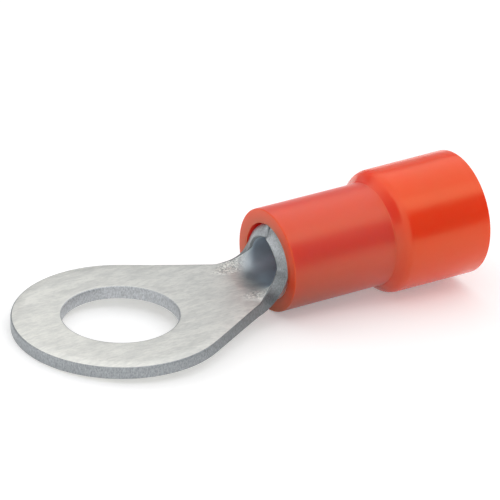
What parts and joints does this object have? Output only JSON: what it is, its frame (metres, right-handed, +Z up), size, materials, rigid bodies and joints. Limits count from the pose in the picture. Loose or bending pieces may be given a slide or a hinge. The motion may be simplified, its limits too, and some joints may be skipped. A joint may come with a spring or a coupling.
{
  "type": "ring terminal",
  "caption": "Insulated crimp ring terminal with a tin-plated ring tongue, a rolled wire barrel and a red moulded sleeve with a wider wire entry.",
  "frame": {"origin": "centre of the stud hole on the tongue's underside", "axes": "+X from the stud hole towards the wire, along the barrel; +Z up, out of the tongue's top face; +Y to the left of +X"},
  "size_m": [0.0187, 0.008, 0.0048],
  "materials": {
    "tinned_copper": "satin",
    "moulded_sleeve": "gloss"
  },
  "bodies": {
    "root": {"ring_terminal": "tinned_copper", "insulating_sleeve": "moulded_sleeve"}
  },
  "joints": []
}
